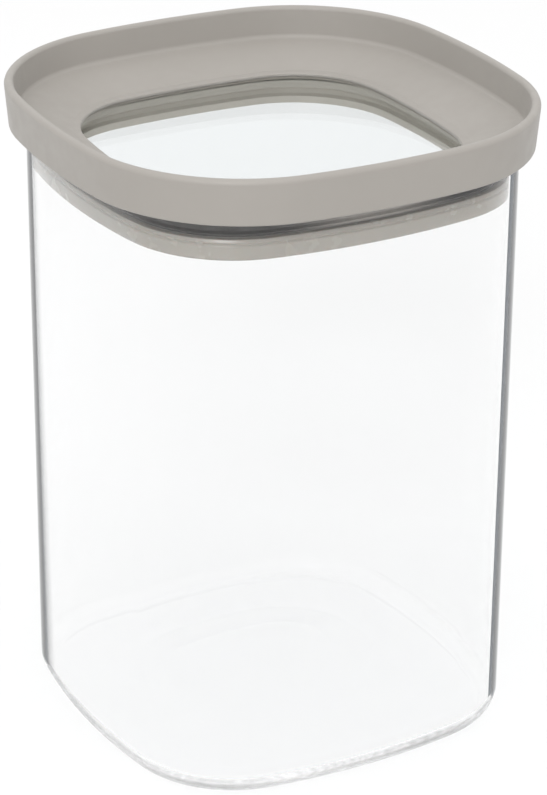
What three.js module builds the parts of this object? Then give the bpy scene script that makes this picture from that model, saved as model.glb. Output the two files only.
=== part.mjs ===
// A square glass storage jar with soft corners and a push-in lid.
// The lid is a moulded frame that carries a clear window. The window is clamped from below by a
// snap-in ring, with a seal over its edge, and a ribbed gasket runs round the plug.
// Millimetres, +Z up, origin at the centre of the base's resting plane.

import * as THREE from "three";
import { mergeVertices } from "three/addons/utils/BufferGeometryUtils.js";

// Driving dimensions ------------------------------------------------------------------------------

const TOTAL_HEIGHT = 154;
const FIT_GAP = 0.3;

// Plan outlines: rounded squares with bowed sides. half is the half-width at the middle of a side.
const LID_PLAN = { half: 56, sideRadius: 184, cornerRadius: 39 };
const JAR_PLAN = { half: 50.6, sideRadius: 154, cornerRadius: 28.4 };
const WINDOW_PLAN = { half: 38.5, sideRadius: 190, cornerRadius: 22 };
const PUSH_UP_PLAN = { half: 27, sideRadius: 110, cornerRadius: 16 };

// Jar
const RIM_HEIGHT = 143;
const WALL = 1.8;
const BASE_THICKNESS = 2.4;
const WALL_DRAFT = 0.2;
const HEEL_RADIUS = 5;
const FLOOR_FILLET = 3.2;
const PUSH_UP_DEPTH = 0.4;
const PUSH_UP_SLOPE = 4.5;

// Lid frame
const FLANGE_BOTTOM = RIM_HEIGHT + FIT_GAP;
const BAND_DRAFT = 0.9;
const BAND_EDGE_RADIUS = 0.7;
const LIP_RADIUS = 1.1;
const LIP_INNER_DRAFT = 0.9;
const SHELF_CORNER = { half: 51.9, z: 146.3 };
const SHELF_SLOPE = 0.345;
const COVE = { outer: 0.7, middle: 0.6, high: 1.3 };
const LAND_WIDTH = 1.6;
const NOSE_ROUND = 0.4;
const NOSE_DEPTH = 0.8;
const SEAT_Z = 141.4;

// Plug: the part of the lid that stands inside the jar's mouth
const PLUG_OUTER = 46.6;
const PLUG_INNER = 45;
const PLUG_BOTTOM = 134.9;
const SNAP = { depth: 0.6, low: 136.3, high: 137.5, ramp: 0.4 };
const RIB = { reach: 0.7, low: 138.5, high: 139.1, ramp: 0.4 };
const PLUG_ROOT = 0.6;

// Window stack and clamp ring
const SEAL_INNER = WINDOW_PLAN.half + 1;
const SEAL_THICKNESS = 0.7;
const PANE_THICKNESS = 1.8;
const PANE_CHAMFER = 0.3;
const PANE_TOP = SEAT_Z - SEAL_THICKNESS - 2 * FIT_GAP;
const PANE_BOTTOM = PANE_TOP - PANE_THICKNESS;
const CLAMP_INNER = 42.8;
const CLAMP_BOTTOM = 132.1;
const CLAMP_LIP = 1.2;
const CLAMP_EASE = 0.3;
const CLAMP_COVE = { depth: 1.1, high: 136.1, middle: 135.1, low: 133.9 };
const CLAMP_FLANGE = { outer: 47.05, bottom: 133, chamfer: 0.6 };

// Gasket
const GASKET_BOTTOM = 133.3;
const GASKET_TOP = RIB.low - FIT_GAP;
const GASKET_VALLEY = 0.6;
const GASKET_EDGE = 0.8;
const TONGUE_GAP = 0.05;

// Facets round one quarter of an outline
const SIDE_STEPS = 2;
const CORNER_STEPS = 9;
const QUARTER_STEPS = 2 * SIDE_STEPS + CORNER_STEPS;
const LOOP_STEPS = 4 * QUARTER_STEPS;

// Shape helpers -----------------------------------------------------------------------------------

// A profile is a list of stations: a point of the section, with the plan outline it follows.
const at = (plan, half, z) => ({ plan, half, z });

// Stations along an arc of the section, between two angles in degrees, where 0 points outwards.
function arc(plan, centreHalf, centreZ, radius, from, to, steps) {
  return Array.from({ length: steps + 1 }, (_, i) => {
    const angle = THREE.MathUtils.degToRad(from + ((to - from) * i) / steps);
    return at(plan, centreHalf + radius * Math.cos(angle), centreZ + radius * Math.sin(angle));
  });
}

// A point of the plan outline that is offset to a half-width. Step 0 is the middle of the +X side.
// Each side is an arc about a centre beyond the middle, and a corner arc is tangent to both sides.
function planPoint(plan, half, step) {
  if (half === 0) {
    return new THREE.Vector2(0, 0);
  }
  const shrink = plan.half - half;
  const sideRadius = plan.sideRadius - shrink;
  const cornerRadius = plan.cornerRadius - shrink;
  const sideCentre = half - sideRadius;
  const radiusDrop = sideRadius - cornerRadius;
  const cornerCentre = (sideCentre + Math.sqrt(2 * radiusDrop ** 2 - sideCentre ** 2)) / 2;
  const tangent = Math.atan2(cornerCentre, cornerCentre - sideCentre);

  const quarter = Math.floor(step / QUARTER_STEPS);
  const local = step % QUARTER_STEPS;
  const point = new THREE.Vector2();
  if (local < SIDE_STEPS) {
    const angle = (tangent * local) / SIDE_STEPS;
    point.set(sideCentre + sideRadius * Math.cos(angle), sideRadius * Math.sin(angle));
  } else if (local <= SIDE_STEPS + CORNER_STEPS) {
    const share = (local - SIDE_STEPS) / CORNER_STEPS;
    const angle = THREE.MathUtils.lerp(tangent, Math.PI / 2 - tangent, share);
    point.set(Math.cos(angle), Math.sin(angle)).multiplyScalar(cornerRadius);
    point.addScalar(cornerCentre);
  } else {
    const angle = (tangent * (QUARTER_STEPS - local)) / SIDE_STEPS;
    point.set(sideRadius * Math.sin(angle), sideCentre + sideRadius * Math.cos(angle));
  }
  return point.rotateAround(new THREE.Vector2(0, 0), (quarter * Math.PI) / 2);
}

// A lathe form whose rings follow the plan outlines instead of circles. The profile goes up the
// outside, and it starts and ends on the axis or closes on itself.
function sweep(profile) {
  const closed = profile[0].half === 0 ? profile : [...profile, profile[0]];
  const section = closed.map((station) => new THREE.Vector2(station.half, station.z));
  const geometry = new THREE.LatheGeometry(section, LOOP_STEPS);
  const position = geometry.getAttribute("position");
  for (let step = 0; step <= LOOP_STEPS; step += 1) {
    closed.forEach((station, i) => {
      const point = planPoint(station.plan, station.half, step % LOOP_STEPS);
      position.setXYZ(step * closed.length + i, point.x, point.y, station.z);
    });
  }
  geometry.deleteAttribute("normal");
  geometry.deleteAttribute("uv");
  return mergeVertices(geometry, 1e-5);
}

// Sub-parts ---------------------------------------------------------------------------------------

// The jar: straight walls with a fully rounded rim, a rounded heel and a shallow push-up underneath.
function jarProfile() {
  const outer = JAR_PLAN.half;
  const innerFoot = outer - WALL - WALL_DRAFT;
  const rimRadius = WALL / 2;
  const heelHalf = outer - WALL_DRAFT - HEEL_RADIUS;
  const filletZ = BASE_THICKNESS + FLOOR_FILLET;
  return [
    at(PUSH_UP_PLAN, 0, PUSH_UP_DEPTH),
    at(PUSH_UP_PLAN, PUSH_UP_PLAN.half - PUSH_UP_SLOPE, PUSH_UP_DEPTH),
    at(PUSH_UP_PLAN, PUSH_UP_PLAN.half + PUSH_UP_SLOPE, 0),
    ...arc(JAR_PLAN, heelHalf, HEEL_RADIUS, HEEL_RADIUS, -90, 0, 4),
    ...arc(JAR_PLAN, outer - rimRadius, RIM_HEIGHT - rimRadius, rimRadius, 0, 180, 4),
    ...arc(JAR_PLAN, innerFoot - FLOOR_FILLET, filletZ, FLOOR_FILLET, 0, -90, 3),
    at(JAR_PLAN, 0, BASE_THICKNESS),
  ];
}

// The lid frame: an outer band with a raised lip, a shelf that slopes down to the window opening,
// a flat seat under the shelf, and a plug wall with a snap groove inside and a rib outside.
function lidFrameProfile() {
  const bandHalf = LID_PLAN.half;
  const edge = BAND_EDGE_RADIUS;
  const lipZ = TOTAL_HEIGHT - LIP_RADIUS;
  const lipFoot = bandHalf - 2 * LIP_RADIUS - LIP_INNER_DRAFT;
  const noseHalf = WINDOW_PLAN.half;
  const noseTop = SEAT_Z + NOSE_DEPTH;
  const landHalf = noseHalf + NOSE_ROUND + LAND_WIDTH;
  const landZ = SHELF_CORNER.z - (SHELF_CORNER.half - landHalf) * SHELF_SLOPE;
  return [
    ...arc(LID_PLAN, bandHalf - BAND_DRAFT - edge, FLANGE_BOTTOM + edge, edge, -90, 0, 2),
    ...arc(LID_PLAN, bandHalf - LIP_RADIUS, lipZ, LIP_RADIUS, 0, 180, 6),
    at(LID_PLAN, lipFoot, SHELF_CORNER.z + COVE.high),
    at(LID_PLAN, SHELF_CORNER.half + COVE.outer, SHELF_CORNER.z + COVE.middle),
    at(LID_PLAN, SHELF_CORNER.half, SHELF_CORNER.z),
    at(WINDOW_PLAN, landHalf, landZ),
    at(WINDOW_PLAN, noseHalf + NOSE_ROUND, noseTop),
    at(WINDOW_PLAN, noseHalf, noseTop - NOSE_ROUND),
    at(WINDOW_PLAN, noseHalf + NOSE_ROUND / 2, SEAT_Z),
    at(JAR_PLAN, PLUG_INNER, SEAT_Z),
    at(JAR_PLAN, PLUG_INNER, SNAP.high + SNAP.ramp),
    at(JAR_PLAN, PLUG_INNER + SNAP.depth, SNAP.high),
    at(JAR_PLAN, PLUG_INNER + SNAP.depth, SNAP.low),
    at(JAR_PLAN, PLUG_INNER, SNAP.low - SNAP.ramp),
    at(JAR_PLAN, PLUG_INNER, PLUG_BOTTOM),
    at(JAR_PLAN, PLUG_OUTER, PLUG_BOTTOM),
    at(JAR_PLAN, PLUG_OUTER, RIB.low),
    at(JAR_PLAN, PLUG_OUTER + RIB.reach, RIB.low),
    at(JAR_PLAN, PLUG_OUTER + RIB.reach, RIB.high),
    at(JAR_PLAN, PLUG_OUTER, RIB.high + RIB.ramp),
    at(JAR_PLAN, PLUG_OUTER, FLANGE_BOTTOM - PLUG_ROOT),
    at(JAR_PLAN, PLUG_OUTER + PLUG_ROOT, FLANGE_BOTTOM),
  ];
}

// A flat elastomer ring between the frame's seat and the window's edge.
function paneSealProfile() {
  const high = SEAT_Z - FIT_GAP;
  const low = high - SEAL_THICKNESS;
  const outer = PLUG_INNER - FIT_GAP;
  return [
    at(WINDOW_PLAN, SEAL_INNER, low),
    at(JAR_PLAN, outer, low),
    at(JAR_PLAN, outer, high),
    at(WINDOW_PLAN, SEAL_INNER, high),
  ];
}

// The clear window, a flat pane with a small chamfer round both faces.
function paneProfile() {
  const outer = PLUG_INNER - FIT_GAP;
  return [
    at(JAR_PLAN, 0, PANE_BOTTOM),
    at(JAR_PLAN, outer - PANE_CHAMFER, PANE_BOTTOM),
    at(JAR_PLAN, outer, PANE_BOTTOM + PANE_CHAMFER),
    at(JAR_PLAN, outer, PANE_TOP - PANE_CHAMFER),
    at(JAR_PLAN, outer - PANE_CHAMFER, PANE_TOP),
    at(JAR_PLAN, 0, PANE_TOP),
  ];
}

// The clamp ring: a deep liner with a shallow cove inside, a snap bead that sits in the frame's
// groove, and a flange that closes the gasket's groove from below.
function clampRingProfile() {
  const top = PANE_BOTTOM - FIT_GAP;
  const outer = PLUG_INNER - FIT_GAP;
  const bead = outer + SNAP.depth;
  const beadHigh = SNAP.high - FIT_GAP;
  const beadLow = SNAP.low + FIT_GAP;
  const flange = CLAMP_FLANGE;
  const flangeTop = PLUG_BOTTOM - FIT_GAP;
  const lip = CLAMP_INNER + CLAMP_LIP;
  const cove = CLAMP_INNER + CLAMP_COVE.depth;
  return [
    at(WINDOW_PLAN, CLAMP_INNER + CLAMP_EASE, CLAMP_BOTTOM),
    at(JAR_PLAN, lip, CLAMP_BOTTOM),
    at(JAR_PLAN, lip + flange.chamfer, flange.bottom),
    at(JAR_PLAN, flange.outer - flange.chamfer, flange.bottom),
    at(JAR_PLAN, flange.outer, flange.bottom + flange.chamfer),
    at(JAR_PLAN, flange.outer, flangeTop),
    at(JAR_PLAN, outer, flangeTop),
    at(JAR_PLAN, outer, beadLow - SNAP.ramp),
    at(JAR_PLAN, bead, beadLow),
    at(JAR_PLAN, bead, beadHigh),
    at(JAR_PLAN, outer, beadHigh + SNAP.ramp),
    at(JAR_PLAN, outer, top),
    at(WINDOW_PLAN, CLAMP_INNER + CLAMP_EASE, top),
    at(WINDOW_PLAN, CLAMP_INNER, top - CLAMP_EASE),
    at(WINDOW_PLAN, CLAMP_INNER, CLAMP_COVE.high),
    at(WINDOW_PLAN, cove, CLAMP_COVE.middle),
    at(WINDOW_PLAN, CLAMP_INNER, CLAMP_COVE.low),
    at(WINDOW_PLAN, CLAMP_INNER, CLAMP_BOTTOM + CLAMP_EASE),
  ];
}

// The gasket: a tongue held between the frame's rib and the clamp ring's flange, and outside it
// a broad lip with a narrow rib above. It clears the jar by the fit gap, as if just released.
function gasketProfile() {
  const inner = PLUG_OUTER + FIT_GAP;
  const outer = JAR_PLAN.half - WALL - FIT_GAP;
  const foot = CLAMP_FLANGE.outer + FIT_GAP;
  const tongueLow = PLUG_BOTTOM + TONGUE_GAP;
  const valleyZ = GASKET_TOP - 1.5 * GASKET_EDGE;
  const lipTop = valleyZ - GASKET_EDGE;
  return [
    at(JAR_PLAN, foot, GASKET_BOTTOM),
    ...arc(JAR_PLAN, outer - GASKET_EDGE, GASKET_BOTTOM + GASKET_EDGE, GASKET_EDGE, -90, 0, 2),
    at(JAR_PLAN, outer, lipTop),
    at(JAR_PLAN, outer - GASKET_VALLEY, valleyZ),
    ...arc(JAR_PLAN, outer - GASKET_EDGE, GASKET_TOP - GASKET_EDGE, GASKET_EDGE, 0, 90, 3),
    at(JAR_PLAN, inner, GASKET_TOP),
    at(JAR_PLAN, inner, tongueLow),
    at(JAR_PLAN, foot, tongueLow),
  ];
}

// Materials and assembly --------------------------------------------------------------------------

function material(color, roughness, options = {}) {
  return new THREE.MeshStandardMaterial({ color, roughness, metalness: 0, ...options });
}

function subPart(name, profile, finish) {
  const mesh = new THREE.Mesh(sweep(profile), finish);
  mesh.name = name;
  return mesh;
}

const CLEAR = { transparent: true, opacity: 0.3 };

const lid = new THREE.Group();
lid.add(
  subPart("lid_frame", lidFrameProfile(), material("#aba7a0", 0.45)),
  subPart("pane_seal", paneSealProfile(), material("#5c5550", 0.7)),
  subPart("window_pane", paneProfile(), material("#edf1f2", 0.05, CLEAR)),
  subPart("clamp_ring", clampRingProfile(), material("#a6a29b", 0.5)),
  subPart("lid_gasket", gasketProfile(), material("#aeaaa3", 0.6)),
);

const container = new THREE.Group();
container.add(subPart("glass_body", jarProfile(), material("#f4f8f8", 0.03, CLEAR)), lid);

export default container;
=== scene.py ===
import math
from collections import namedtuple

import bpy
from mathutils import Matrix, Vector


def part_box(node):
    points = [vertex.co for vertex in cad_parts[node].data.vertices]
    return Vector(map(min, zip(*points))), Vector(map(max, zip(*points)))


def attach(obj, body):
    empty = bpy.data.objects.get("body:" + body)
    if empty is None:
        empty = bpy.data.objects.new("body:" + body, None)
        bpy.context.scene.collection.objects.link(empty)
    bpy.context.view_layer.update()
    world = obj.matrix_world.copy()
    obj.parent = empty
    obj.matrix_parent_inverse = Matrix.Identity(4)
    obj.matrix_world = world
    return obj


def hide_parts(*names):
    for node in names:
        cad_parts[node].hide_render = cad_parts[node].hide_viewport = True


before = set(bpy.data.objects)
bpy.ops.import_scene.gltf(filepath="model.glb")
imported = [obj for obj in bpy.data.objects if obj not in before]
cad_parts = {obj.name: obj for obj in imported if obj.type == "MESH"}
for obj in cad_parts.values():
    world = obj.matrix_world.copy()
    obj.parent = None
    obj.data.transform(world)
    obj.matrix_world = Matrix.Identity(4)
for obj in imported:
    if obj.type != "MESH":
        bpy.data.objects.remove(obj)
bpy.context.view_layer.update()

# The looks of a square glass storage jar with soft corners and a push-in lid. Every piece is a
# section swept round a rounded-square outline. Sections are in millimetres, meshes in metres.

MM = 0.001

# Driving dimensions, in millimetres ---------------------------------------------------------------

# A plan outline is a rounded square with bowed sides; half is its half-width at a side's middle.
Plan = namedtuple("Plan", "half side_radius corner_radius")
# A station is a point of a section: the outline it follows, how far out, how high, how rounded.
Station = namedtuple("Station", "plan half z fillet", defaults=(0.0,))


def extent(node):
    """A CAD node's half-width, lowest and highest point, in millimetres."""
    low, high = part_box(node)
    return high.x / MM, low.z / MM, high.z / MM


JAR_HALF, _, RIM_Z = extent("glass_body")
LID_HALF, _, LID_TOP = extent("lid_frame")
PANE_HALF, PANE_LOW, PANE_HIGH = extent("window_pane")
SEAL_HALF, SEAL_LOW, SEAL_HIGH = extent("pane_seal")
CLAMP_FLANGE, CLAMP_LOW, CLAMP_HIGH = extent("clamp_ring")
GASKET_HALF, GASKET_LOW, GASKET_HIGH = extent("lid_gasket")

LID = Plan(LID_HALF, 184, 39)
JAR = Plan(JAR_HALF, 154, 28.4)
WINDOW = Plan(38.5, 190, 22)
PUSH_UP = Plan(27, 110, 16)

# The clearance that keeps the pieces apart
GAP = 0.3

# Radii of edges, from the keen ones of seats and grooves to the soft ones that a hand meets
KEEN = 0.1
CRISP = 0.15
FINE = 0.2
EASED = 0.3
SOFT = 0.6

# Jar
WALL = 1.8
WALL_DRAFT = 0.2
BASE_THICKNESS = 2.4
HEEL_RADIUS = 5
FLOOR_FILLET = 3.2
PUSH_UP_DEPTH = 0.4
PUSH_UP_SLOPE = 4.5
PUSH_UP_FILLET = 35

# Lid frame; the two fillets of its lip stop just short of each other
BAND_DRAFT = 0.9
LIP_RADIUS = 1.1
LIP_OUTER_FILLET = LIP_RADIUS * 0.999
LIP_INNER_FILLET = LIP_RADIUS * 0.95
LIP_INNER_DRAFT = 0.9
SHELF_DROP = 7.4
SHELF_SLOPE = 0.345
SHELF_FILLET = 1.4
LAND_WIDTH = 2.0
LAND_FILLET = 0.8
SEAT_Z = SEAL_HIGH + GAP
NOSE_DEPTH = 0.75
NOSE_DRAFT = 0.1
NOSE_FILLET = 0.45
FLANGE_Z = RIM_Z + GAP

# Plug: the part of the lid that stands inside the jar's mouth
PLUG_OUTER = 46.6
PLUG_INNER = PANE_HALF + GAP
PLUG_LOW = 134.9
SNAP_DEPTH = 0.6
SNAP_LOW = 136.3
SNAP_HIGH = 137.5
RIB_REACH = 0.7
RIB_HEIGHT = 0.6
RIB_RAMP = 0.4
RIB_LOW = GASKET_HIGH + GAP

# Window, its seal and the clamp ring
SEAL_SETBACK = 1
PANE_EDGE = 0.25
CLAMP_INNER = 42.8
CLAMP_LIP = 1.2
CLAMP_STEP = 0.4
CLAMP_FLANGE_LOW = 133
COVE_DEPTH = 1.5
COVE_HIGH = 136.1
COVE_LOW = 133.9
COVE_SLOPE = 0.3

# Gasket; its drops are measured from its top
TONGUE_GAP = 0.05
GASKET_HEEL = 0.8
GASKET_LIP_DROP = 1.5
GASKET_LIP_FILLET = 0.4
GASKET_VALLEY_DROP = 1.1
GASKET_VALLEY_DEPTH = 0.35
GASKET_RIB_DROP = 0.7
GASKET_RIB_FILLET = 0.25

# Facets: round half a side, round a corner, and the turn of one facet of a fillet in degrees.
# An edge between two facets is sharp from the sharp angle on, also in degrees.
SIDE_STEPS = 20
CORNER_STEPS = 32
FILLET_FACET = 9
FILLET_STEPS = 6
SHARP_ANGLE = 28


# Mesh helpers -------------------------------------------------------------------------------------

def outline(plan, half):
    """The plan outline offset to a half-width, as points from the middle of the +X side round."""
    shrink = plan.half - half
    side_radius = plan.side_radius - shrink
    corner_radius = plan.corner_radius - shrink
    side_centre = half - side_radius
    drop = side_radius - corner_radius
    corner_centre = (side_centre + math.sqrt(2 * drop ** 2 - side_centre ** 2)) / 2
    tangent = math.atan2(corner_centre, corner_centre - side_centre)

    def on_side(angle):
        return Vector((side_centre + side_radius * math.cos(angle), side_radius * math.sin(angle)))

    quarter = [on_side(tangent * i / SIDE_STEPS) for i in range(SIDE_STEPS)]
    for i in range(CORNER_STEPS + 1):
        angle = tangent + (math.pi / 2 - 2 * tangent) * i / CORNER_STEPS
        centre = Vector((corner_centre, corner_centre))
        quarter.append(centre + corner_radius * Vector((math.cos(angle), math.sin(angle))))
    for i in range(SIDE_STEPS - 1, 0, -1):
        point = on_side(tangent * i / SIDE_STEPS)
        quarter.append(Vector((point.y, point.x)))
    return [Matrix.Rotation(k * math.pi / 2, 2) @ point for k in range(4) for point in quarter]


def fillet(before, corner, after):
    """The stations that round off a corner of a section with its own radius."""
    here = Vector((corner.half, corner.z))
    back = Vector((before.half, before.z)) - here
    on = Vector((after.half, after.z)) - here
    back.normalize()
    on.normalize()
    opening = back.angle(on)
    centre = here + (back + on).normalized() * corner.fillet / math.sin(opening / 2)
    start = here + back * corner.fillet / math.tan(opening / 2) - centre
    turn = math.pi - opening
    if back.x * on.y - back.y * on.x > 0:
        turn = -turn
    steps = max(FILLET_STEPS, math.ceil(abs(math.degrees(turn)) / FILLET_FACET))
    stations = []
    for i in range(steps + 1):
        point = centre + Matrix.Rotation(turn * i / steps, 2) @ start
        stations.append(Station(corner.plan, point.x, point.y))
    return stations


def rounded(section):
    """A section with its fillets worked out. It starts and ends on the axis, or closes."""
    stations = []
    for i, corner in enumerate(section):
        if corner.fillet:
            stations += fillet(section[i - 1], corner, section[(i + 1) % len(section)])
        else:
            stations.append(corner)
    return stations


def sweep(name, section):
    """A mesh object whose rings follow the outlines. The section goes up the outside."""
    stations = rounded(section)
    closed = stations[0].half > 0
    vertices = []
    rings = []
    for station in stations:
        if station.half > 0:
            points = outline(station.plan, station.half)
        else:
            points = [Vector((0, 0))]
        rings.append(range(len(vertices), len(vertices) + len(points)))
        vertices += [(p.x * MM, p.y * MM, station.z * MM) for p in points]

    faces = []
    for low, high in zip(rings, rings[1:] + rings[:1] if closed else rings[1:]):
        count = max(len(low), len(high))
        for i in range(count):
            corners = (low[i % len(low)], low[(i + 1) % len(low)],
                       high[(i + 1) % len(high)], high[i % len(high)])
            faces.append(tuple(dict.fromkeys(corners)))

    mesh = bpy.data.meshes.new(name)
    mesh.from_pydata(vertices, [], faces)
    mesh.validate()
    mesh.shade_smooth()
    mesh.set_sharp_from_angle(angle=math.radians(SHARP_ANGLE))
    piece = bpy.data.objects.new(name, mesh)
    bpy.context.scene.collection.objects.link(piece)
    flats = piece.modifiers.new("keep_flats_flat", "WEIGHTED_NORMAL")
    flats.keep_sharp = True
    return piece


# Sections -----------------------------------------------------------------------------------------

def jar_section():
    """Straight walls with a fully rounded rim, a rounded heel and a shallow push-up underneath."""
    return [
        Station(PUSH_UP, 0, PUSH_UP_DEPTH),
        Station(PUSH_UP, PUSH_UP.half - PUSH_UP_SLOPE, PUSH_UP_DEPTH, PUSH_UP_FILLET),
        Station(PUSH_UP, PUSH_UP.half + PUSH_UP_SLOPE, 0, PUSH_UP_FILLET),
        Station(JAR, JAR.half - WALL_DRAFT, 0, HEEL_RADIUS),
        Station(JAR, JAR.half, RIM_Z, WALL / 2),
        Station(JAR, JAR.half - WALL, RIM_Z, WALL / 2),
        Station(JAR, JAR.half - WALL - WALL_DRAFT, BASE_THICKNESS, FLOOR_FILLET),
        Station(JAR, 0, BASE_THICKNESS),
    ]


def lid_frame_section():
    """A band with a raised lip, a shelf that slopes to the opening, a seat and the plug's wall."""
    lip_inner = LID.half - 2 * LIP_RADIUS
    shelf_outer = lip_inner - LIP_INNER_DRAFT
    shelf_z = LID_TOP - SHELF_DROP
    land = WINDOW.half + LAND_WIDTH
    land_z = shelf_z - (shelf_outer - land) * SHELF_SLOPE
    return [
        Station(LID, LID.half - BAND_DRAFT, FLANGE_Z, SOFT),
        Station(LID, LID.half, LID_TOP, LIP_OUTER_FILLET),
        Station(LID, lip_inner, LID_TOP, LIP_INNER_FILLET),
        Station(LID, shelf_outer, shelf_z, SHELF_FILLET),
        Station(WINDOW, land, land_z, LAND_FILLET),
        Station(WINDOW, WINDOW.half, SEAT_Z + NOSE_DEPTH, NOSE_FILLET),
        Station(WINDOW, WINDOW.half + NOSE_DRAFT, SEAT_Z, KEEN),
        Station(JAR, PLUG_INNER, SEAT_Z),
        Station(JAR, PLUG_INNER, SNAP_HIGH + SNAP_DEPTH),
        Station(JAR, PLUG_INNER + SNAP_DEPTH, SNAP_HIGH, FINE),
        Station(JAR, PLUG_INNER + SNAP_DEPTH, SNAP_LOW, FINE),
        Station(JAR, PLUG_INNER, SNAP_LOW - SNAP_DEPTH),
        Station(JAR, PLUG_INNER, PLUG_LOW, CRISP),
        Station(JAR, PLUG_OUTER, PLUG_LOW, CRISP),
        Station(JAR, PLUG_OUTER, RIB_LOW),
        Station(JAR, PLUG_OUTER + RIB_REACH, RIB_LOW, CRISP),
        Station(JAR, PLUG_OUTER + RIB_REACH, RIB_LOW + RIB_HEIGHT, CRISP),
        Station(JAR, PLUG_OUTER, RIB_LOW + RIB_HEIGHT + RIB_RAMP, EASED),
        Station(JAR, PLUG_OUTER, FLANGE_Z, SOFT),
    ]


def pane_seal_section():
    """A flat ring between the frame's seat and the window's edge."""
    inner = WINDOW.half + SEAL_SETBACK
    return [
        Station(WINDOW, inner, SEAL_LOW, KEEN),
        Station(JAR, SEAL_HALF, SEAL_LOW),
        Station(JAR, SEAL_HALF, SEAL_HIGH),
        Station(WINDOW, inner, SEAL_HIGH, KEEN),
    ]


def pane_section():
    """A flat pane whose edges are eased."""
    return [
        Station(JAR, 0, PANE_LOW),
        Station(JAR, PANE_HALF, PANE_LOW, PANE_EDGE),
        Station(JAR, PANE_HALF, PANE_HIGH, PANE_EDGE),
        Station(JAR, 0, PANE_HIGH),
    ]


def clamp_ring_section():
    """A deep liner with a shallow cove inside, a snap bead outside and a flange below."""
    bead = PANE_HALF + SNAP_DEPTH
    flange_top = PLUG_LOW - GAP
    lip = CLAMP_INNER + CLAMP_LIP
    return [
        Station(WINDOW, CLAMP_INNER, CLAMP_LOW, EASED),
        Station(JAR, lip, CLAMP_LOW, EASED),
        Station(JAR, lip + CLAMP_STEP, CLAMP_FLANGE_LOW, CLAMP_STEP),
        Station(JAR, CLAMP_FLANGE, CLAMP_FLANGE_LOW, SOFT),
        Station(JAR, CLAMP_FLANGE, flange_top, KEEN),
        Station(JAR, PANE_HALF, flange_top),
        Station(JAR, PANE_HALF, SNAP_LOW),
        Station(JAR, bead, SNAP_LOW + GAP, CRISP),
        Station(JAR, bead, SNAP_HIGH - GAP, CRISP),
        Station(JAR, PANE_HALF, SNAP_HIGH),
        Station(JAR, PANE_HALF, CLAMP_HIGH),
        Station(WINDOW, CLAMP_INNER, CLAMP_HIGH, EASED),
        Station(WINDOW, CLAMP_INNER, COVE_HIGH, FINE),
        Station(WINDOW, CLAMP_INNER + COVE_DEPTH, COVE_HIGH - COVE_SLOPE, FINE),
        Station(WINDOW, CLAMP_INNER + COVE_DEPTH, COVE_LOW + COVE_SLOPE, FINE),
        Station(WINDOW, CLAMP_INNER, COVE_LOW, FINE),
    ]


def gasket_section():
    """A tongue in the plug's groove; outside it a narrow rib above a broad lip."""
    inner = PLUG_OUTER + GAP
    foot = CLAMP_FLANGE + GAP
    valley = GASKET_HALF - GASKET_VALLEY_DEPTH
    tongue_low = PLUG_LOW + TONGUE_GAP
    return [
        Station(JAR, foot, GASKET_LOW, KEEN),
        Station(JAR, GASKET_HALF, GASKET_LOW, GASKET_HEEL),
        Station(JAR, GASKET_HALF, GASKET_HIGH - GASKET_LIP_DROP, GASKET_LIP_FILLET),
        Station(JAR, valley, GASKET_HIGH - GASKET_VALLEY_DROP, CRISP),
        Station(JAR, GASKET_HALF, GASKET_HIGH - GASKET_RIB_DROP, GASKET_RIB_FILLET),
        Station(JAR, valley, GASKET_HIGH, FINE),
        Station(JAR, inner, GASKET_HIGH, KEEN),
        Station(JAR, inner, tongue_low),
        Station(JAR, foot, tongue_low),
    ]


# Materials ----------------------------------------------------------------------------------------

# Linear colours; a moulded material clouds from the first of its pair to the second.
JAR_TINT = (0.982, 0.983, 0.984)
# Painted shade: the glass's outer skin darkens to this where it turns away, drawing dark edges.
JAR_PAINTED_EDGE_SHADE = (0.004, 0.006, 0.010)
# Painted shade: light mirrored back into a wall takes this colour, a dark line along the jar's
# edges.
JAR_PAINTED_LINE_SHADE = (0.10, 0.12, 0.14)
WINDOW_TINT = (0.875, 0.9, 0.905)
LID_GREIGE = (0.280, 0.262, 0.239), (0.292, 0.273, 0.250)
# Painted light: the ring's warm greige is lightened past the frame's to make up for the shade under
# the window.
RING_LIGHTENED_GREIGE = (0.44, 0.405, 0.356), (0.455, 0.418, 0.368)
GASKET_GREIGE = (0.295, 0.277, 0.246), (0.307, 0.289, 0.258)
SEAL_BROWN = (0.24, 0.22, 0.195), (0.26, 0.24, 0.21)
# Painted shade: the plug's corners under the skirt darken to this colour.
PLUG_PAINTED_SHADE = (0.020, 0.0175, 0.015)

GLASS_IOR = 1.5
WINDOW_IOR = 1.2
PLASTIC_IOR = 1.49
GLASS_BOUNCES = 48

# Textures: features per metre, and depths in metres
CLOUD_SCALE = 45
GLOSS_SCALE = 260
GRAIN_DEPTH = 0.00001
WAVE_SCALE = 40
WAVE_DEPTH = 0.00002
SKIN_DEPTH = 0.001

# Most noise lies between these two values.
NOISE_LOW = 0.3
NOISE_HIGH = 0.7

# The product of a point's plan coordinates, in square metres, where the painted shade in a corner
# starts and is full
CORNER_SHADE_START = 0.0002
CORNER_SHADE_FULL = 0.0011

# Layer weights between which the outer skin goes over to its painted edge shade, and the inner skin
# to the painted shade of its edge line
EDGE_SHADE_START = 0.735
EDGE_SHADE_END = 0.77
LINE_SHADE_START = 0.9
LINE_SHADE_END = 0.98
# The tint that dims what a clear skin mirrors
DIM_MIRROR = (0.3, 0.3, 0.3, 1)

# The heel's skin is faintly frosted and lets a share of the view straight through. Faces whose
# normal has less z than the underside's don't belong to it.
HEEL_STRAIGHT = 0.3
HEEL_ROUGHNESS = 0.25
UNDERSIDE = -0.99
# How far below the flange the plug's painted corner shade stops, in millimetres
PLUG_SHADE_STOP = 0.2


def new_material(name):
    """A material with its node tree emptied down to an output node."""
    material = bpy.data.materials.new(name)
    material.use_nodes = True
    tree = material.node_tree
    tree.nodes.clear()
    output = tree.nodes.new("ShaderNodeOutputMaterial")
    return material, tree, output


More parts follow.
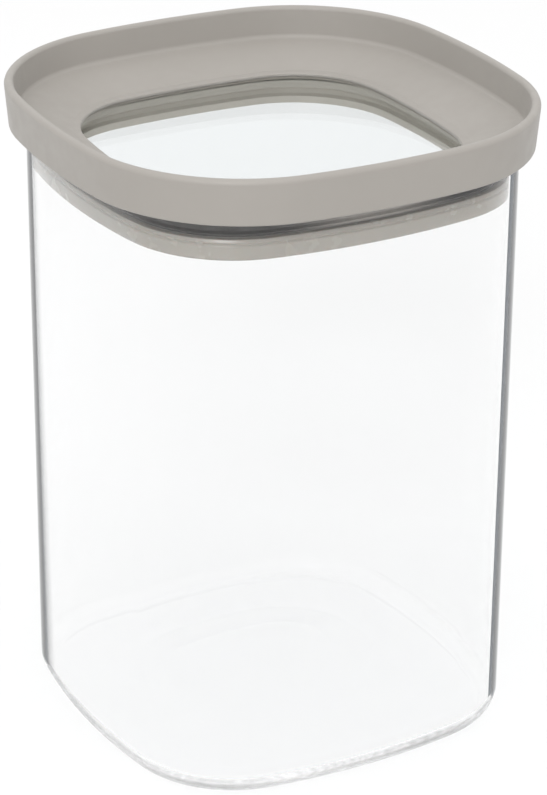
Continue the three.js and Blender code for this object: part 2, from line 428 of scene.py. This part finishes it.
def noise(tree, scale, detail=3.0, roughness=0.5):
    """A noise texture in the piece's own coordinates, with scale in features per metre."""
    coordinates = tree.nodes.new("ShaderNodeTexCoord")
    texture = tree.nodes.new("ShaderNodeTexNoise")
    texture.inputs["Scale"].default_value = scale
    texture.inputs["Detail"].default_value = detail
    texture.inputs["Roughness"].default_value = roughness
    tree.links.new(coordinates.outputs["Object"], texture.inputs["Vector"])
    return texture.outputs["Fac"]


def mapped(tree, value, low, high):
    """A noise value spread between two numbers."""
    node = tree.nodes.new("ShaderNodeMapRange")
    node.inputs["From Min"].default_value = NOISE_LOW
    node.inputs["From Max"].default_value = NOISE_HIGH
    node.inputs["To Min"].default_value = low
    node.inputs["To Max"].default_value = high
    tree.links.new(value, node.inputs["Value"])
    return node.outputs["Result"]


def blended(tree, value, first, second):
    """Two colours mixed by a value."""
    node = tree.nodes.new("ShaderNodeMix")
    node.data_type = "RGBA"
    node.inputs["A"].default_value = (*first, 1)
    node.inputs["B"].default_value = (*second, 1)
    tree.links.new(value, node.inputs["Factor"])
    return node.outputs["Result"]


def bump(tree, value, distance):
    """A bump from a height value; distance is its full depth in metres."""
    node = tree.nodes.new("ShaderNodeBump")
    node.inputs["Distance"].default_value = distance
    tree.links.new(value, node.inputs["Height"])
    return node.outputs["Normal"]


def corner_shade_share(tree):
    """How near a point is to a corner of the square, from the product of its plan coordinates; it
    places painted shade in the corners.
    """
    coordinates = tree.nodes.new("ShaderNodeTexCoord")
    split = tree.nodes.new("ShaderNodeSeparateXYZ")
    tree.links.new(coordinates.outputs["Object"], split.inputs["Vector"])
    product = tree.nodes.new("ShaderNodeMath")
    product.operation = "MULTIPLY"
    tree.links.new(split.outputs["X"], product.inputs[0])
    tree.links.new(split.outputs["Y"], product.inputs[1])
    size = tree.nodes.new("ShaderNodeMath")
    size.operation = "ABSOLUTE"
    tree.links.new(product.outputs["Value"], size.inputs[0])
    share = tree.nodes.new("ShaderNodeMapRange")
    share.interpolation_type = "SMOOTHSTEP"
    share.inputs["From Min"].default_value = CORNER_SHADE_START
    share.inputs["From Max"].default_value = CORNER_SHADE_FULL
    tree.links.new(size.outputs["Value"], share.inputs["Value"])
    return share.outputs["Result"]


def moulded(name, colours, gloss, grain, sheen=0.0, subsurface=0.0, corners=None):
    """A moulded plastic or rubber: cloudy colour, fine spark-eroded grain, uneven gloss. With a
    colour for its corners, its first colour blends to that one instead of clouding: painted shade
    gathered in the corners."""
    material, tree, output = new_material(name)
    shader = tree.nodes.new("ShaderNodeBsdfPrincipled")
    tree.links.new(shader.outputs["BSDF"], output.inputs["Surface"])
    # A colour for the corners paints shade into them.
    if corners:
        colour = blended(tree, corner_shade_share(tree), colours[0], corners)
    else:
        colour = blended(tree, mapped(tree, noise(tree, CLOUD_SCALE), 0, 1), *colours)
    tree.links.new(colour, shader.inputs["Base Color"])
    tree.links.new(mapped(tree, noise(tree, GLOSS_SCALE), *gloss), shader.inputs["Roughness"])
    grains = noise(tree, grain, roughness=0.6)
    tree.links.new(bump(tree, grains, GRAIN_DEPTH), shader.inputs["Normal"])
    shader.inputs["IOR"].default_value = PLASTIC_IOR
    shader.inputs["Sheen Weight"].default_value = sheen
    shader.inputs["Subsurface Weight"].default_value = subsurface
    shader.inputs["Subsurface Scale"].default_value = SKIN_DEPTH
    return material


def ramped(tree, value, first, second):
    """A colour ramp between two (position, colour) stops."""
    node = tree.nodes.new("ShaderNodeValToRGB")
    for stop, (position, colour) in zip(node.color_ramp.elements, (first, second)):
        stop.position = position
        stop.color = (*colour, 1)
    tree.links.new(value, node.inputs["Fac"])
    return node.outputs["Color"]


def layer_weight(tree, output, ior=2.0):
    """Facing or Fresnel of the surface; the ior matters only to Fresnel."""
    node = tree.nodes.new("ShaderNodeLayerWeight")
    node.inputs["Blend"].default_value = 1 - 1 / ior
    return node.outputs[output]


def see_through(tree, output, shader, tint, straight=0.0):
    """Rays from lamps and from dull surfaces pass straight on, so what glass shuts in stays lit.
    Of the rays that are seen, the straight share does so too, which softens dark outlines."""
    path = tree.nodes.new("ShaderNodeLightPath")
    either = tree.nodes.new("ShaderNodeMath")
    either.operation = "MAXIMUM"
    tree.links.new(path.outputs["Is Shadow Ray"], either.inputs[0])
    tree.links.new(path.outputs["Is Diffuse Ray"], either.inputs[1])
    through = tree.nodes.new("ShaderNodeBsdfTransparent")
    through.inputs["Color"].default_value = (*tint, 1)
    seen = tree.nodes.new("ShaderNodeMixShader")
    seen.inputs["Fac"].default_value = straight
    tree.links.new(shader.outputs["BSDF"], seen.inputs[1])
    tree.links.new(through.outputs["BSDF"], seen.inputs[2])
    mix = tree.nodes.new("ShaderNodeMixShader")
    tree.links.new(either.outputs["Value"], mix.inputs["Fac"])
    tree.links.new(seen.outputs["Shader"], mix.inputs[1])
    tree.links.new(through.outputs["BSDF"], mix.inputs[2])
    tree.links.new(mix.outputs["Shader"], output.inputs["Surface"])


def clear_skin(name, tint, ior=GLASS_IOR, edge_shade=None, straight=0.0, roughness=0.0):
    """Polished clear skin with faint waves. Given an edge shade, it darkens to that painted shade
    where it turns away.
    """
    material, tree, output = new_material(name)
    shader = tree.nodes.new("ShaderNodeBsdfPrincipled")
    shader.inputs["Roughness"].default_value = roughness
    shader.inputs["IOR"].default_value = ior
    shader.inputs["Transmission Weight"].default_value = 1.0
    shader.inputs["Base Color"].default_value = (*tint, 1)
    shader.inputs["Specular Tint"].default_value = DIM_MIRROR
    # Where the skin turns away, its colour ramps to the painted edge shade.
    if edge_shade:
        facing = layer_weight(tree, "Facing")
        colour = ramped(tree, facing, (EDGE_SHADE_START, tint), (EDGE_SHADE_END, edge_shade))
        tree.links.new(colour, shader.inputs["Base Color"])
    waves = noise(tree, WAVE_SCALE, detail=1)
    tree.links.new(bump(tree, waves, WAVE_DEPTH), shader.inputs["Normal"])
    see_through(tree, output, shader, tint, straight)
    return material


def edge_line_skin(name, tint, line_shade):
    """The inside skin of a wall. Light that it mirrors back into the wall takes the line shade's
    colour, a painted shade which draws the wall's thickness as a dark line along the jar's edges."""
    material, tree, output = new_material(name)
    shader = tree.nodes.new("ShaderNodeBsdfGlass")
    shader.inputs["Roughness"].default_value = 0.0
    shader.inputs["IOR"].default_value = GLASS_IOR
    mirrored = layer_weight(tree, "Fresnel", GLASS_IOR)
    colour = ramped(tree, mirrored, (LINE_SHADE_START, tint), (LINE_SHADE_END, line_shade))
    tree.links.new(colour, shader.inputs["Color"])
    see_through(tree, output, shader, tint)
    return material


def faces_out(face):
    """Whether a face looks away from the object's axis."""
    return face.normal.x * face.center.x + face.normal.y * face.center.y > 0


def paint_jar(piece):
    """Four skins: outside and inside of the walls, the floor and the rim, and the heel."""
    outside, inside, plain, heel = range(4)
    for material in (
        clear_skin("glass_outside", JAR_TINT, edge_shade=JAR_PAINTED_EDGE_SHADE),
        edge_line_skin("glass_inside", JAR_TINT, JAR_PAINTED_LINE_SHADE),
        clear_skin("glass_plain", JAR_TINT),
        clear_skin("glass_heel", JAR_TINT, straight=HEEL_STRAIGHT, roughness=HEEL_ROUGHNESS),
    ):
        piece.data.materials.append(material)
    foot_top = (BASE_THICKNESS + FLOOR_FILLET) * MM
    rim_bottom = (RIM_Z - WALL / 2) * MM
    for face in piece.data.polygons:
        if foot_top < face.center.z < rim_bottom:
            face.material_index = outside if faces_out(face) else inside
        elif face.center.z < foot_top and faces_out(face) and face.normal.z > UNDERSIDE:
            face.material_index = heel
        else:
            face.material_index = plain


# Pieces -------------------------------------------------------------------------------------------

def place(piece, node, body):
    """The piece stands for its CAD node, which it hides, and rides on its body."""
    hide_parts(node)
    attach(piece, body)


def build_jar():
    """The jar: one piece of clear glass with four skins."""
    piece = sweep("jar_glass", jar_section())
    paint_jar(piece)
    place(piece, "glass_body", "jar")


def build_lid_frame():
    """The lid frame in satin plastic, with painted shade darkening the plug's corners between rib
    and flange.
    """
    piece = sweep("lid_frame_shell", lid_frame_section())
    piece.data.materials.append(
        moulded("lid_plastic", LID_GREIGE, gloss=(0.42, 0.55), grain=9000, sheen=0.05))
    piece.data.materials.append(
        moulded("plug_painted_shade", LID_GREIGE, gloss=(0.4, 0.55), grain=9000, corners=PLUG_PAINTED_SHADE))
    plug_top = (FLANGE_Z - PLUG_SHADE_STOP) * MM
    # Faces of the plug between rib and flange take the painted corner shade.
    for face in piece.data.polygons:
        if RIB_LOW * MM < face.center.z < plug_top and faces_out(face):
            face.material_index = 1
    place(piece, "lid_frame", "lid")


def build_pane_seal():
    """The dull brown seal over the window's edge."""
    piece = sweep("window_seal", pane_seal_section())
    piece.data.materials.append(
        moulded("seal_rubber", SEAL_BROWN, gloss=(0.6, 0.75), grain=6000))
    place(piece, "pane_seal", "lid")


def build_pane():
    """The window, clear with a faint cool tint."""
    piece = sweep("window_glazing", pane_section())
    piece.data.materials.append(clear_skin("window_clear", WINDOW_TINT, WINDOW_IOR))
    place(piece, "window_pane", "lid")


def build_clamp_ring():
    """The clamp ring under the window, in a warm greige lightened past the frame's: painted light
    that makes up for the shade it sits in.
    """
    piece = sweep("window_clamp_ring", clamp_ring_section())
    piece.data.materials.append(
        moulded("ring_plastic", RING_LIGHTENED_GREIGE, gloss=(0.4, 0.55), grain=7000))
    place(piece, "clamp_ring", "lid")


def build_gasket():
    """The gasket in smooth, slightly translucent silicone."""
    piece = sweep("ribbed_gasket", gasket_section())
    piece.data.materials.append(
        moulded("gasket_rubber", GASKET_GREIGE, gloss=(0.2, 0.3), grain=5000, subsurface=0.15))
    place(piece, "lid_gasket", "lid")


# Studio -------------------------------------------------------------------------------------------

# Metres; the floor lies a hair below the base so that the two faces don't fight.
FLOOR_REACH = 4.0
FLOOR_DROP = 0.0001
FLOOR_WHITE = (0.715, 0.715, 0.715, 1)
HORIZON_LIGHT = 0.95
ZENITH_LIGHT = 1.4


def build_floor():
    """A plain pale floor, wide enough to fill every view from above."""
    reach = FLOOR_REACH
    mesh = bpy.data.meshes.new("floor")
    corners = [(-reach, -reach, 0), (reach, -reach, 0), (reach, reach, 0), (-reach, reach, 0)]
    mesh.from_pydata(corners, [], [(0, 1, 2, 3)])
    floor = bpy.data.objects.new("floor", mesh)
    bpy.context.scene.collection.objects.link(floor)
    floor.location.z = -FLOOR_DROP
    material, tree, output = new_material("floor_white")
    shader = tree.nodes.new("ShaderNodeBsdfDiffuse")
    shader.inputs["Color"].default_value = FLOOR_WHITE
    tree.links.new(shader.outputs["BSDF"], output.inputs["Surface"])
    mesh.materials.append(material)


def build_world():
    """A white surround that is brighter overhead than at the horizon."""
    world = bpy.data.worlds.new("studio")
    world.use_nodes = True
    tree = world.node_tree
    tree.nodes["Background"].inputs["Color"].default_value = (1, 1, 1, 1)
    coordinates = tree.nodes.new("ShaderNodeTexCoord")
    split = tree.nodes.new("ShaderNodeSeparateXYZ")
    height = tree.nodes.new("ShaderNodeMapRange")
    height.inputs["To Min"].default_value = HORIZON_LIGHT
    height.inputs["To Max"].default_value = ZENITH_LIGHT
    tree.links.new(coordinates.outputs["Generated"], split.inputs["Vector"])
    tree.links.new(split.outputs["Z"], height.inputs["Value"])
    tree.links.new(height.outputs["Result"], tree.nodes["Background"].inputs["Strength"])
    bpy.context.scene.world = world


def area_light(name, azimuth, elevation, distance, size, power):
    """A square soft light that looks at the object's foot and isn't seen through the glass."""
    light = bpy.data.lights.new(name, "AREA")
    light.shape = "SQUARE"
    light.size = size
    light.energy = power
    lamp = bpy.data.objects.new(name, light)
    bpy.context.scene.collection.objects.link(lamp)
    lamp.visible_transmission = False
    back = direction(azimuth, elevation)
    lamp.location = back * distance
    lamp.rotation_euler = back.to_track_quat("Z", "Y").to_euler()


def direction(azimuth, elevation):
    """A unit vector from the object; azimuth 0 is towards -Y, both angles in degrees."""
    a = math.radians(azimuth)
    e = math.radians(elevation)
    return Vector((math.sin(a) * math.cos(e), -math.cos(a) * math.cos(e), math.sin(e)))


def build_lights():
    """A broad light overhead and a smaller one from the camera's side."""
    area_light("overhead", azimuth=-30, elevation=75, distance=1.4, size=1.2, power=2)
    area_light("front_fill", azimuth=-38, elevation=36, distance=1.6, size=0.5, power=8)


def build_camera():
    """The camera, far off with a long lens, looking down on the container's middle."""
    azimuth, elevation, roll = -28.77, 24.87, 0.42
    distance = 0.7301
    aim = Vector((0.00106, -0.00058, 0.07615))
    camera = bpy.data.objects.new("camera", bpy.data.cameras.new("camera"))
    bpy.context.scene.collection.objects.link(camera)
    back = direction(azimuth, elevation)
    camera.location = aim + back * distance
    tilt = Matrix.Rotation(math.radians(roll), 4, "Z")
    camera.rotation_euler = (back.to_track_quat("Z", "Y").to_matrix().to_4x4() @ tilt).to_euler()
    camera.data.lens = 139.51
    camera.data.sensor_width = 36
    camera.data.clip_start = 0.01
    bpy.context.scene.camera = camera


def set_light_paths():
    """Plain tones, and enough bounces for light that the glass mirrors round its own walls."""
    scene = bpy.context.scene
    scene.view_settings.view_transform = "Standard"
    scene.cycles.max_bounces = GLASS_BOUNCES
    scene.cycles.transmission_bounces = GLASS_BOUNCES
    scene.cycles.glossy_bounces = GLASS_BOUNCES
    scene.cycles.blur_glossy = 0.0


build_jar()
build_lid_frame()
build_pane_seal()
build_pane()
build_clamp_ring()
build_gasket()
build_floor()
build_world()
build_lights()
build_camera()
set_light_paths()
